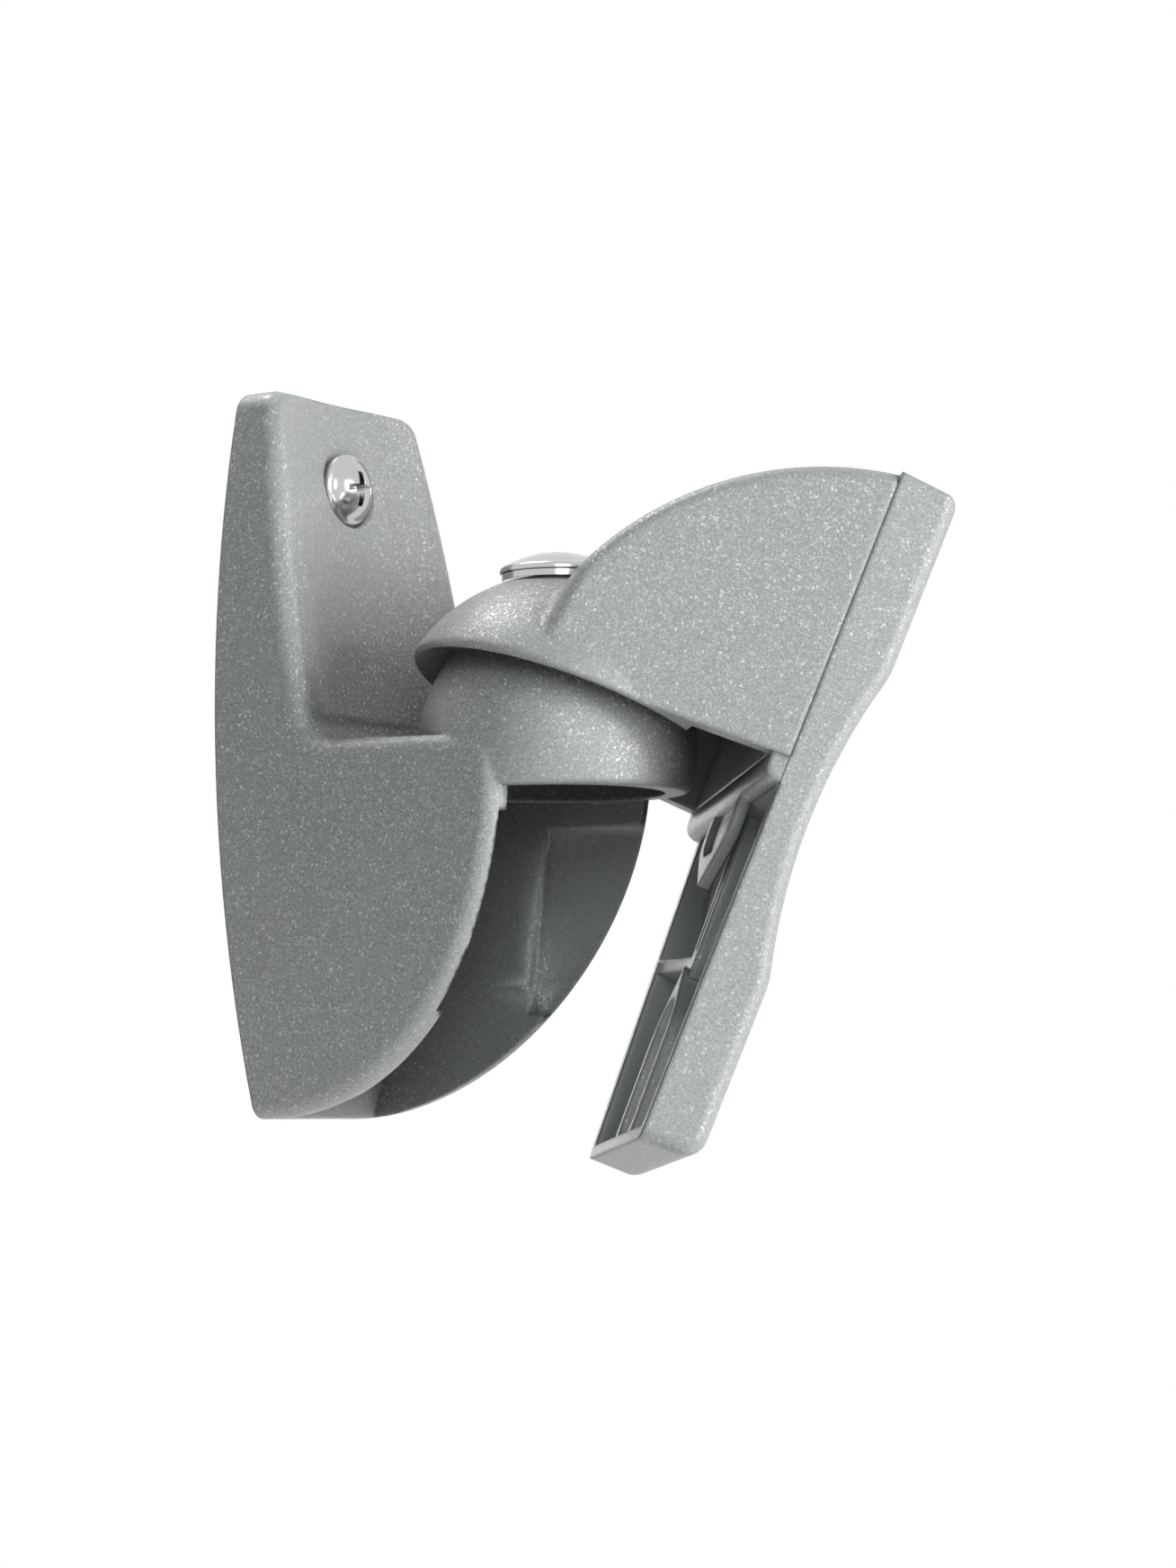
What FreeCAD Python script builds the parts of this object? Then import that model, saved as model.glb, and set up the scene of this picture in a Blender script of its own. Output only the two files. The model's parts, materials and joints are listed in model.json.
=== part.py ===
"""Speaker wall bracket: a moulded wall part with a ball, and a clamped, tilting speaker arm.

Millimetres. The wall is the plane Y = 0, the room is towards -Y and +Z is up.
The origin is on the wall, straight behind the centre of the ball.
The arm is drawn straight ahead in its own frame, with the ball's centre as its origin,
and is then turned to the pose that it was set to.
"""
import FreeCAD, Part
import math
import os
from FreeCAD import Placement, Rotation, Vector

# Wall part: outline, sloping front and cheeks
WALL_TOP = 48.6
WALL_BOTTOM = -48.0
WALL_HALF_WIDTH = 20.0
WALL_WIDEST_Z = 8.0
WALL_SIDE_RADIUS = 185.0
WALL_DRAFT = 0.035
WALL_TOP_DEPTH = 6.2
WALL_FRONT_SLOPE = 0.187
WALL_CORNER_RADIUS = 3.5
WALL_EDGE_RADIUS = 2.6
DECK_Z = 1.0
DECK_CORNER_RADIUS = 4.0
CHEEK_REACH = 44.5
CHEEK_NOSE_RADIUS = 4.0
CHEEK_CURVE_POWER = 1.85
CHEEK_WALL = 2.8
CHEEK_THIN_WALL = 1.5
CHEEK_POCKET_TOP_Z = -9.2
CHEEK_POCKET_BOTTOM_Z = -34.2
CHEEK_POCKET_BACK = 28.0
BACK_WALL = 4.5
SCOOP_DEPTH = 2.3
SCOOP_HALF_WIDTH = 14.6
CORE_WALL = 3.0
CORE_FRONT_WALL = 2.6
SCREW_BOSS_RADIUS = 7.0
TROUGH_HALF_WIDTH = 17.2
TROUGH_FLOOR_Z = -1.0

# Ball
BALL_Y = -41.2
BALL_RADIUS = 18.1
BALL_RIM_Z = -6.0
BALL_WALL = 3.0
BALL_RIM_RADIUS = 1.0
NUT_BOSS_RADIUS = 8.0
NUT_BOSS_DEPTH = 8.5

# Wall screws
WALL_SCREW_RADIUS = 2.4
WALL_SCREW_CLEARANCE = 0.3
WALL_SCREW_END_DEPTH = 0.5
WALL_HEAD_RADIUS = 4.9
WALL_HEAD_RIM = 1.1
WALL_HEAD_HEIGHT = 3.6
WALL_HEAD_SEAT_CLEARANCE = 0.4
UPPER_SCREW_Z = 36.8
UPPER_SEAT_DEPTH = 5.2
LOWER_SCREW_Z = -27.0
DRIVE_LENGTH = 5.4
DRIVE_WIDTH = 1.2
DRIVE_DEPTH = 2.2

# Clamp: screw, saddle washer and captive nut
CLAMP_SCREW_RADIUS = 3.0
CLAMP_HOLE_CLEARANCE = 0.3
CLAMP_THREAD_CLEARANCE = 0.05
CLAMP_HEAD_RADIUS = 7.6
CLAMP_HEAD_RIM = 0.7
CLAMP_HEAD_HEIGHT = 3.0
CLAMP_SCREW_END_Z = 6.0
CLAMP_DRIVE_LENGTH = 8.0
CLAMP_DRIVE_WIDTH = 1.6
CLAMP_DRIVE_DEPTH = 1.9
SADDLE_RADIUS = 7.3
SADDLE_THICKNESS = 0.9
NUT_FLATS = 10.0
NUT_HEIGHT = 5.0
NUT_BELOW_DOME = 1.0
NUT_POCKET_CLEARANCE = 0.15
RUNNING_GAP = 0.3
SEAT_GAP = 0.05

# Arm: pose, hood and its spherical cap
ARM_PAN_DEG = 44.0
ARM_TILT_DEG = 21.5
ARM_ROLL_DEG = 5.5
CAP_THICKNESS = 4.0
CAP_RIM_Z = 4.25
MOUTH_RADIUS = 21.2
MOUTH_BEVEL_HEIGHT = 4.4
HOOD_REACH = 25.0
HOOD_HALF_WIDTH = 19.67
HOOD_FLARE_FORWARD = 0.176
HOOD_FLARE_UP = 0.152
HOOD_TOP_Z = 42.3
HOOD_CREST = (-5.2, 34.3)
CREST_WALL_SHARE = 0.7
HOOD_HEEL = (8.8, 10.6)
HOOD_HEEL_TOP = (7.7, 18.0)
HOOD_HEEL_RADIUS = 2.6
HOOD_WALL = 2.5
HOOD_FRONT_WALL = 2.2
HOOD_CROWN_RADIUS = 1.8
CAP_RIM_RADIUS = 0.8
WELL_RADIUS = 10.2
SLOT_HALF_WIDTH = 5.4
SLOT_TILT_UP_DEG = 6.0
SLOT_TILT_DOWN_DEG = 32.0

# Speaker plate
PLATE_DEPTH = 8.25
PLATE_BOTTOM_Z = -46.0
PLATE_TOP_FALL = 0.7
PLATE_FLARE = 0.06
PLATE_WAIST_TOP_Z = 18.5
PLATE_WAIST_BOTTOM_Z = -22.0
PLATE_WAIST_DEPTH = 2.75
PLATE_WALL = 1.8
PLATE_FRONT_WALL = 2.0
PLATE_BOTTOM_RADIUS = 3.0
PLATE_EDGE_RADIUS = 2.0
PLATE_WAIST_CORNER_RADIUS = 12.0
SHELF_TOP_Z = CAP_RIM_Z
SHELF_THICKNESS = 3.4
SHELF_LIP_RADIUS = 1.8
TONGUE_HALF_WIDTH = 8.0
TONGUE_SHOULDER_Z = -4.0
TONGUE_TIP_Z = -10.0
TONGUE_THICKNESS = 1.7
TONGUE_POCKET_WALL = 1.8
TONGUE_POCKET_DEPTH = 0.8
TONGUE_POCKET_Z = -5.6
TONGUE_CORNER_SHARE = 0.5
TONGUE_POCKET_CORNER_SHARE = 0.7
SPINE_THICKNESS = 3.0
SPINE_GROOVE = 1.4
SPINE_BELOW_SEAM = 1.2
RIB_Z = -18.0
RIB_THICKNESS = 1.8
RIB_SCOOP_DEPTH = 3.2
LONG_SLOT_TOP_Z = -28.5
LONG_SLOT_BOTTOM_Z = -41.5
LONG_SLOT_HALF_WIDTH = 2.2
COLLAR_HALF_WIDTH = 5.0
COLLAR_WALL = 1.3
COLLAR_POINT_RISE = 8.0
COLLAR_SHOULDER_SHARE = 2.0
COLLAR_BELOW_SEAM = 0.5

# Plate screws
PLATE_SCREW_BELOW_TOP = 14.3
PLATE_SCREW_SPACING = 26.0
PLATE_SCREW_RADIUS = 1.5
PLATE_SCREW_LENGTH = 11.0
PLATE_SCREW_HEAD_RADIUS = 2.9
PLATE_SCREW_HEAD_HEIGHT = 1.7
PLATE_DRIVE_LENGTH = 2.9
PLATE_DRIVE_WIDTH = 0.75
PLATE_DRIVE_DEPTH = 1.02
PLATE_BOSS_RADIUS = 3.4

ARM_SPAN = (-50.0, 50.0, -30.0, 45.0)
X, Y, Z = Vector(1, 0, 0), Vector(0, 1, 0), Vector(0, 0, 1)
FAR = 80.0
BLOCK_MARGIN = 6.0
PAST = 1.0  # how far a cutter runs past the face that it cuts
BALL_CENTRE = Vector(0, BALL_Y, 0)


def at(forward, z, x=0.0):
    """A point given by its distance towards the room, its height and its side place."""
    return Vector(x, -forward, z)


def edge(start, end):
    return Part.LineSegment(start, end).toShape()


def rounded(points, radii=None):
    """Edges of a closed outline through points, with an arc of radii[i] at each corner i."""
    radii = radii or {}
    count = len(points)
    arcs, starts, ends = [], [], []
    for i, corner in enumerate(points):
        before = (points[i - 1] - corner).normalize()
        after = (points[(i + 1) % count] - corner).normalize()
        radius = radii.get(i, 0.0)
        if not radius:
            starts.append(corner)
            ends.append(corner)
            arcs.append(None)
            continue
        half = before.getAngle(after) / 2
        start = corner + before * (radius / math.tan(half))
        end = corner + after * (radius / math.tan(half))
        centre = corner + (before + after).normalize() * (radius / math.sin(half))
        middle = centre + (corner - centre).normalize() * radius
        starts.append(start)
        ends.append(end)
        arcs.append(Part.Arc(start, middle, end).toShape())
    edges = []
    for i in range(count):
        if arcs[i]:
            edges.append(arcs[i])
        edges.append(edge(ends[i], starts[(i + 1) % count]))
    return edges


def across(edges, half_width):
    """A prism of an outline in the middle plane, extruded to both sides."""
    face = Part.Face(Part.Wire(edges))
    face.translate(X * -half_width)
    return face.extrude(X * (2 * half_width))


def rod(radius, start, direction, length):
    return Part.makeCylinder(radius, length, start, direction)


def ball(radius):
    return Part.makeSphere(radius)


def above(z):
    """Everything higher than z."""
    return Part.makeBox(2 * FAR, 2 * FAR, FAR, Vector(-FAR, -FAR, z))


def edge_middle(candidate):
    return candidate.valueAt((candidate.FirstParameter + candidate.LastParameter) / 2)


def rimmed_ball(radius, rim_z, rim_radius):
    """The upper part of a ball, down to a flat rim with a rounded edge."""
    cap = ball(radius).common(above(rim_z))
    return cap.makeFillet(rim_radius, [e for e in cap.Edges if abs(edge_middle(e).z - rim_z) < 0.01])


def cross_recess(centre, direction, length, width, depth):
    """The cutter for a cross-head drive, sunk against direction from centre."""
    arms = []
    for turn in (0, 90):
        arm = Part.makeBox(length, width, depth, Vector(-length / 2, -width / 2, -depth))
        arm.rotate(Vector(), Z, turn)
        arms.append(arm)
    cutter = arms[0].fuse(arms[1])
    cutter.Placement = Placement(centre, Rotation(Z, direction)).multiply(cutter.Placement)
    return cutter


# Wall part

def wall_front(z):
    """Depth of the sloping front at height z."""
    return WALL_TOP_DEPTH + WALL_FRONT_SLOPE * (WALL_TOP - z)


def wall_half_width(z, inset):
    bow = WALL_SIDE_RADIUS - math.sqrt(WALL_SIDE_RADIUS ** 2 - (z - WALL_WIDEST_Z) ** 2)
    return WALL_HALF_WIDTH - bow - inset


def wall_outline(depth, inset):
    """The shield-shaped outline at a depth from the wall, with bowed sides."""
    taper = inset + WALL_DRAFT * depth
    low, high = WALL_BOTTOM - BLOCK_MARGIN, WALL_TOP - inset
    side = [(wall_half_width(z, taper), z) for z in (low, WALL_WIDEST_Z, high)]
    right = [at(depth, z, half) for half, z in side]
    left = [at(depth, z, -half) for half, z in reversed(side)]
    return Part.Wire([
        Part.Arc(*right).toShape(),
        edge(right[2], left[0]),
        Part.Arc(*left).toShape(),
        edge(left[2], right[0]),
    ])


def wall_block(inset=0.0):
    reach = CHEEK_REACH + CHEEK_NOSE_RADIUS
    return Part.makeLoft([wall_outline(0, inset), wall_outline(reach, inset)], True, True)


def wall_side_profile():
    """The wall part seen from the side: sloping front, flat deck and curved cheeks."""
    nose_z = DECK_Z - CHEEK_NOSE_RADIUS
    drop = nose_z - WALL_BOTTOM
    curve_points = []
    for step in range(7):
        angle = math.radians(90 * step / 6)
        fall = math.sin(angle) ** (2 / CHEEK_CURVE_POWER)
        curve_points.append(at(CHEEK_REACH * math.cos(angle), nose_z - drop * fall))
    curve = Part.BSplineCurve()
    curve.interpolate(curve_points)
    nose_centre = at(CHEEK_REACH - CHEEK_NOSE_RADIUS, nose_z)
    diagonal = CHEEK_NOSE_RADIUS * math.sqrt(0.5)
    nose_start = nose_centre + Z * CHEEK_NOSE_RADIUS
    nose = Part.Arc(nose_start, nose_centre + at(diagonal, diagonal), curve_points[0])

    corner = at(wall_front(DECK_Z), DECK_Z)
    top_front = at(wall_front(WALL_TOP), WALL_TOP)
    up = (top_front - corner).normalize()
    ahead = Y * -1
    half = up.getAngle(ahead) / 2
    run = DECK_CORNER_RADIUS / math.tan(half)
    slope_end, deck_end = corner + up * run, corner + ahead * run
    centre = corner + (up + ahead).normalize() * (DECK_CORNER_RADIUS / math.sin(half))
    middle = centre + (corner - centre).normalize() * DECK_CORNER_RADIUS
    return [
        edge(at(0, WALL_BOTTOM), at(0, WALL_TOP)),
        edge(at(0, WALL_TOP), top_front),
        edge(top_front, slope_end),
        Part.Arc(slope_end, middle, deck_end).toShape(),
        edge(deck_end, nose_start),
        nose.toShape(),
        curve.toShape(),
    ]


def front_scoop():
    """A shallow round hollow down the sloping front, where the upper screw sits."""
    radius = (SCOOP_HALF_WIDTH ** 2 + SCOOP_DEPTH ** 2) / (2 * SCOOP_DEPTH)
    foot = at(wall_front(DECK_Z), DECK_Z)
    slope = (at(wall_front(WALL_TOP), WALL_TOP) - foot).normalize()
    outward = slope.cross(X) * -1
    if outward.y > 0:
        outward = outward * -1
    axis_foot = foot + outward * (radius - SCOOP_DEPTH)
    scoop = rod(radius, axis_foot - slope * FAR, slope, 2 * FAR)
    return scoop.common(above(DECK_Z + DECK_CORNER_RADIUS))


def outer_edges(shape):
    """The long edges between the sides and the front, from the top round to the bottom."""
    found = []
    for candidate in shape.Edges:
        middle = edge_middle(candidate)
        side = wall_half_width(middle.z, WALL_DRAFT * -middle.y)
        on_side = abs(abs(middle.x) - side) < 0.2
        if on_side and middle.y < -1.0 and middle.z < WALL_TOP - 0.5:
            found.append(candidate)
    return found


def back_core():
    """The hollow behind the sloping front, open towards the wall."""
    low, high = DECK_Z + CORE_WALL, WALL_TOP - CORE_WALL
    skin = SCOOP_DEPTH + CORE_FRONT_WALL
    outline = [
        at(0, low),
        at(wall_front(low) - skin, low),
        at(wall_front(high) - skin, high),
        at(0, high),
    ]
    core = across(rounded(outline), FAR).common(wall_block(CORE_WALL))
    return core.cut(rod(SCREW_BOSS_RADIUS, at(0, UPPER_SCREW_Z), Y * -1, FAR))


def make_wall_bracket():
    body = wall_block().common(across(wall_side_profile(), FAR))
    corners = [e for e in body.Edges if is_top_corner(e)]
    body = body.makeFillet(WALL_CORNER_RADIUS, corners)
    body = body.makeFillet(WALL_EDGE_RADIUS, outer_edges(body))
    body = body.cut(front_scoop())
    room = Part.makeBox(2 * FAR, FAR, FAR, Vector(-FAR, -FAR - BACK_WALL, DECK_Z - BALL_WALL - FAR))
    body = body.cut(wall_block(CHEEK_WALL).common(room))
    body = body.cut(wall_block(CHEEK_THIN_WALL).common(cheek_pocket()))
    body = body.cut(swing_trough())
    body = body.fuse(rimmed_ball(BALL_RADIUS, BALL_RIM_Z, BALL_RIM_RADIUS).translated(BALL_CENTRE))
    hollow = ball(BALL_RADIUS - BALL_WALL)
    boss_bottom = BALL_RADIUS - BALL_WALL - NUT_BOSS_DEPTH
    hollow = hollow.cut(rod(NUT_BOSS_RADIUS, Vector(0, 0, boss_bottom), Z, FAR))
    body = body.cut(hollow.translated(BALL_CENTRE))

    shaft = rod(CLAMP_SCREW_RADIUS + CLAMP_HOLE_CLEARANCE, Vector(), Z, FAR)
    pocket = nut_prism(NUT_FLATS + 2 * NUT_POCKET_CLEARANCE, boss_bottom - PAST, nut_top())
    body = body.cut(shaft.fuse(pocket).translated(BALL_CENTRE))

    body = body.cut(back_core())
    hole = WALL_SCREW_RADIUS + WALL_SCREW_CLEARANCE
    for z in (UPPER_SCREW_Z, LOWER_SCREW_Z):
        body = body.cut(rod(hole, at(-PAST, z), Y * -1, BACK_WALL + FAR / 4))
    seat = WALL_HEAD_RADIUS + WALL_HEAD_SEAT_CLEARANCE
    body = body.cut(rod(seat, at(UPPER_SEAT_DEPTH, UPPER_SCREW_Z), Y * -1, FAR))
    return body


def cheek_pocket():
    """Where the cheeks' inner faces step back, in the forward half of the room between them."""
    height = CHEEK_POCKET_TOP_Z - CHEEK_POCKET_BOTTOM_Z
    return Part.makeBox(2 * FAR, FAR, height, Vector(-FAR, -CHEEK_POCKET_BACK - FAR, CHEEK_POCKET_BOTTOM_Z))


def swing_trough():
    """A shallow dished trough round the ball, inside the cheeks, for the cap's rim."""
    sweep = ball(saddle_inner()).translated(BALL_CENTRE)
    depth = DECK_Z - TROUGH_FLOOR_Z
    inside = Part.makeBox(2 * TROUGH_HALF_WIDTH, CHEEK_REACH, depth,
                          Vector(-TROUGH_HALF_WIDTH, -CHEEK_REACH - CHEEK_NOSE_RADIUS, TROUGH_FLOOR_Z))
    return sweep.common(inside)


def is_top_corner(candidate):
    """True for the two edges that run from the wall to the front at the top corners."""
    ends = [vertex.Point for vertex in candidate.Vertexes]
    if len(ends) != 2 or any(abs(p.z - WALL_TOP) > 0.01 for p in ends):
        return False
    run = ends[1] - ends[0]
    return abs(run.y) > WALL_TOP_DEPTH / 2 > abs(run.x)


# Screws, nut and washer

def nut_top():
    """Height of the nut's upper face above the ball's centre."""
    return BALL_RADIUS - BALL_WALL - NUT_BELOW_DOME


def nut_prism(flats, low, high):
    radius = flats / math.sqrt(3)
    corners = [Vector(radius * math.cos(math.radians(a)), radius * math.sin(math.radians(a)), low)
               for a in range(0, 360, 60)]
    face = Part.Face(Part.makePolygon(corners + corners[:1]))
    return face.extrude(Z * (high - low))


def pan_head(radius, rim, height):
    """A domed head on the plane Z = 0, with a short straight rim."""
    crown = height - rim
    dome_radius = (radius ** 2 + crown ** 2) / (2 * crown)
    dome = ball(dome_radius).translated(Z * (height - dome_radius))
    return rod(radius, Vector(), Z, height).common(dome)


def make_wall_screw(z, seat_depth):
    head = pan_head(WALL_HEAD_RADIUS, WALL_HEAD_RIM, WALL_HEAD_HEIGHT)
    shank = rod(WALL_SCREW_RADIUS, Vector(), Z * -1, seat_depth - WALL_SCREW_END_DEPTH)
    screw = head.fuse(shank).removeSplitter()
    screw = screw.cut(cross_recess(Z * WALL_HEAD_HEIGHT, Z, DRIVE_LENGTH, DRIVE_WIDTH, DRIVE_DEPTH))
    screw.Placement = Placement(at(seat_depth, z), Rotation(Z, Y * -1))
    return screw


def saddle_inner():
    return BALL_RADIUS + RUNNING_GAP + CAP_THICKNESS + RUNNING_GAP


def make_saddle_washer():
    inner = saddle_inner()
    shell = ball(inner + SADDLE_THICKNESS).cut(ball(inner))
    column = rod(SADDLE_RADIUS, Vector(), Z, FAR)
    column = column.cut(rod(CLAMP_SCREW_RADIUS + CLAMP_HOLE_CLEARANCE, Vector(), Z, FAR))
    return shell.common(column).translated(BALL_CENTRE)


def make_clamp_screw():
    """The clamp screw: a low domed head, hollow below to sit on the saddle washer."""
    under = saddle_inner() + SADDLE_THICKNESS + SEAT_GAP
    rim_z = math.sqrt(under ** 2 - CLAMP_HEAD_RADIUS ** 2)
    head = pan_head(CLAMP_HEAD_RADIUS, CLAMP_HEAD_RIM, CLAMP_HEAD_HEIGHT).translated(Z * rim_z)
    head = head.cut(ball(under))
    top = rim_z + CLAMP_HEAD_HEIGHT
    shank = rod(CLAMP_SCREW_RADIUS, Z * CLAMP_SCREW_END_Z, Z, under + 0.2 - CLAMP_SCREW_END_Z)
    screw = head.fuse(shank).removeSplitter()
    drive = cross_recess(Z * top, Z, CLAMP_DRIVE_LENGTH, CLAMP_DRIVE_WIDTH, CLAMP_DRIVE_DEPTH)
    return screw.cut(drive).translated(BALL_CENTRE)


def make_clamp_nut():
    nut = nut_prism(NUT_FLATS, nut_top() - NUT_HEIGHT, nut_top())
    bore = rod(CLAMP_SCREW_RADIUS + CLAMP_THREAD_CLEARANCE, Vector(), Z, FAR)
    return nut.cut(bore).translated(BALL_CENTRE)


# Arm, in its own frame

def flank_half_width(forward, z, flare):
    """Half the width between the arm's flanks, wider towards the plate and the top."""
    at_seam = HOOD_HALF_WIDTH + HOOD_FLARE_FORWARD * HOOD_REACH
    return at_seam + flare * (forward - HOOD_REACH) + HOOD_FLARE_UP * z


def between_flanks(inset, flare):
    """The space between the two flat flanks, as one solid with plane sides."""
    low, high, back, front = ARM_SPAN
    corners = {}
    for forward in (back, front):
        for z in (low, high):
            half = flank_half_width(forward, z, flare) - inset
            for side in (-1, 1):
                corners[forward, z, side] = at(forward, z, side * half)
    quads = []
    for side in (-1, 1):
        quads.append([(back, low, side), (front, low, side), (front, high, side), (back, high, side)])
    for forward in (back, front):
        quads.append([(forward, low, -1), (forward, low, 1), (forward, high, 1), (forward, high, -1)])
    for z in (low, high):
        quads.append([(back, z, -1), (back, z, 1), (front, z, 1), (front, z, -1)])
    faces = []
    for quad in quads:
        ring = [corners[key] for key in quad]
        faces.append(Part.Face(Part.makePolygon(ring + ring[:1])))
    solid = Part.makeSolid(Part.makeShell(faces))
    solid.fix(1e-6, 1e-6, 1e-6)
    return solid


def hood_profile(wall):
    """The hood seen from the side, with its crest lowered and its heel cut back by wall."""
    heel_low = at(-HOOD_HEEL[0] + wall, CAP_RIM_Z)
    heel_high = at(-HOOD_HEEL[0] + wall, HOOD_HEEL[1] + wall)
    heel_top = at(-HOOD_HEEL_TOP[0] + wall, HOOD_HEEL_TOP[1] - wall)
    crest_wall = CREST_WALL_SHARE * wall
    crest = at(-HOOD_CREST[0] + crest_wall, HOOD_CREST[1] - crest_wall)
    seam_top = at(HOOD_REACH, HOOD_TOP_Z - wall)
    seam_low = at(HOOD_REACH, CAP_RIM_Z)
    return [
        edge(seam_low, heel_low),
        edge(heel_low, heel_high),
        edge(heel_high, heel_top),
        Part.Arc(heel_top, crest, seam_top).toShape(),
        edge(seam_top, seam_low),
    ]


def soft_block(profile, flare, along, radius):
    """A profile cut between the flanks, with its long outer edges rounded."""
    block = across(profile, FAR).common(between_flanks(0.0, flare))
    return block.makeFillet(radius, [e for e in block.Edges if along(e)])


def is_heel(candidate):
    """True for the two edges that run across the back of the hood."""
    middle = edge_middle(candidate)
    return abs(middle.x) < 1.0 and middle.y > -HOOD_HEEL_TOP[0] - 1.0 and middle.z > CAP_RIM_Z + 1.0


def on_crown(candidate):
    """True for the edges between the flanks and the hood's curved crown."""
    middle = edge_middle(candidate)
    return abs(middle.x) > 1.0 and middle.z > HOOD_HEEL[1] and middle.y > -HOOD_REACH + 1.0


def make_hood():
    flare = HOOD_FLARE_FORWARD
    cap_inner = BALL_RADIUS + RUNNING_GAP
    cap_outer = cap_inner + CAP_THICKNESS
    block = soft_block(hood_profile(0.0), flare, is_heel, HOOD_HEEL_RADIUS)
    block = block.makeFillet(HOOD_CROWN_RADIUS, [e for e in block.Edges if on_crown(e)])
    hood = block.fuse(rimmed_ball(cap_outer, CAP_RIM_Z, CAP_RIM_RADIUS))

    well = rod(WELL_RADIUS, Vector(), Z, FAR)
    well = well.fuse(Part.makeBox(2 * WELL_RADIUS, FAR, FAR, Vector(-WELL_RADIUS, 0, 0)))
    hood = hood.cut(well.cut(ball(cap_outer)))

    front_room_start = WELL_RADIUS + HOOD_WALL
    front_room = Part.makeBox(
        2 * FAR, HOOD_REACH - HOOD_FRONT_WALL - front_room_start, FAR,
        Vector(-FAR, -HOOD_REACH + HOOD_FRONT_WALL, 0))
    under_skin = across(hood_profile(HOOD_WALL), FAR).fuse(
        Part.makeBox(2 * FAR, HOOD_REACH, CAP_RIM_Z, Vector(-FAR, -HOOD_REACH, 0)))
    front_room = front_room.common(under_skin).common(between_flanks(HOOD_WALL, flare))
    for boss in plate_bosses(HOOD_REACH - PLATE_SCREW_LENGTH, HOOD_REACH):
        front_room = front_room.cut(boss)
    hood = hood.cut(front_room)
    hood = hood.cut(ball(cap_inner)).cut(clamp_slot()).cut(mouth_bevel())
    for x, z in plate_screw_places():
        tap = rod(PLATE_SCREW_RADIUS + SEAT_GAP, at(HOOD_REACH + PAST, z, x), Y,
                  PLATE_SCREW_LENGTH + PAST)
        hood = hood.cut(tap)
    return hood


def mouth_bevel():
    """The bevel inside the cap's rim, which swings clear over the tops of the cheeks."""
    low = -CAP_RIM_Z
    cone = Part.makeCone(MOUTH_RADIUS, BALL_RADIUS, MOUTH_BEVEL_HEIGHT, Z * CAP_RIM_Z)
    return cone.fuse(rod(MOUTH_RADIUS, Z * low, Z, CAP_RIM_Z - low))


def clamp_slot():
    """The curved slot that lets the hood tilt past the clamp screw."""
    reach = FAR / 2
    start, end = math.radians(-SLOT_TILT_UP_DEG), math.radians(SLOT_TILT_DOWN_DEG)
    fan = [Vector()]
    for step in range(5):
        angle = start + (end - start) * step / 4
        fan.append(Vector(0, reach * math.sin(angle), reach * math.cos(angle)))
    slot = Part.Face(Part.makePolygon(fan + fan[:1])).extrude(X * (2 * SLOT_HALF_WIDTH))
    slot.translate(X * -SLOT_HALF_WIDTH)
    for angle in (start, end):
        slot = slot.fuse(rod(SLOT_HALF_WIDTH, Vector(), Vector(0, math.sin(angle), math.cos(angle)), reach))
    return slot


def plate_screw_places():
    z = HOOD_TOP_Z - PLATE_SCREW_BELOW_TOP
    return [(side * PLATE_SCREW_SPACING / 2, z) for side in (-1, 1)]


def plate_bosses(start, end):
    return [rod(PLATE_BOSS_RADIUS, at(end, z, x), Y, end - start) for x, z in plate_screw_places()]


def plate_front():
    return HOOD_REACH + PLATE_DEPTH


def plate_profile(inset):
    """The plate seen from the side: flat pads above and below a shallow waist."""
    front = plate_front() - inset
    waist_middle_z = (PLATE_WAIST_TOP_Z + PLATE_WAIST_BOTTOM_Z) / 2
    waist = Part.Arc(at(front, PLATE_WAIST_TOP_Z), at(front - PLATE_WAIST_DEPTH, waist_middle_z),
                     at(front, PLATE_WAIST_BOTTOM_Z))
    low = PLATE_BOTTOM_Z
    radius = PLATE_BOTTOM_RADIUS
    bend = at(front - radius * (1 - math.sqrt(0.5)), low + radius * (1 - math.sqrt(0.5)))
    corner = Part.Arc(at(front, low + radius), bend, at(front - radius, low))
    return [
        edge(at(HOOD_REACH, low), at(HOOD_REACH, HOOD_TOP_Z)),
        edge(at(HOOD_REACH, HOOD_TOP_Z), at(front, HOOD_TOP_Z - PLATE_TOP_FALL)),
        edge(at(front, HOOD_TOP_Z - PLATE_TOP_FALL), at(front, PLATE_WAIST_TOP_Z)),
        waist.toShape(),
        edge(at(front, PLATE_WAIST_BOTTOM_Z), at(front, low + radius)),
        corner.toShape(),
        edge(at(front - radius, low), at(HOOD_REACH, low)),
    ]


def upright_slot(half_width, low, high, start, end):
    """A round-ended slot through the plate, between two depths."""
    box = Part.makeBox(2 * half_width, end - start, high - low, at(end, low, -half_width))
    ends = [rod(half_width, at(end, z), Y, end - start) for z in (low, high)]
    return box.fuse(ends)


def is_waist_corner(candidate):
    """True for the two edges across the front where the pads meet the waist."""
    middle = edge_middle(candidate)
    heights = (PLATE_WAIST_TOP_Z, PLATE_WAIST_BOTTOM_Z)
    return abs(middle.y + plate_front()) < 0.1 and min(abs(middle.z - z) for z in heights) < 0.1


def on_plate_rim(candidate):
    """True for the edges between the plate's front and its flanks or top."""
    middle = edge_middle(candidate)
    forward = plate_front() - PLATE_WAIST_DEPTH - 0.1
    is_top = middle.z > HOOD_TOP_Z - 2 * PLATE_TOP_FALL
    return middle.y < -forward and (abs(middle.x) > 1.0 or is_top)


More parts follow.
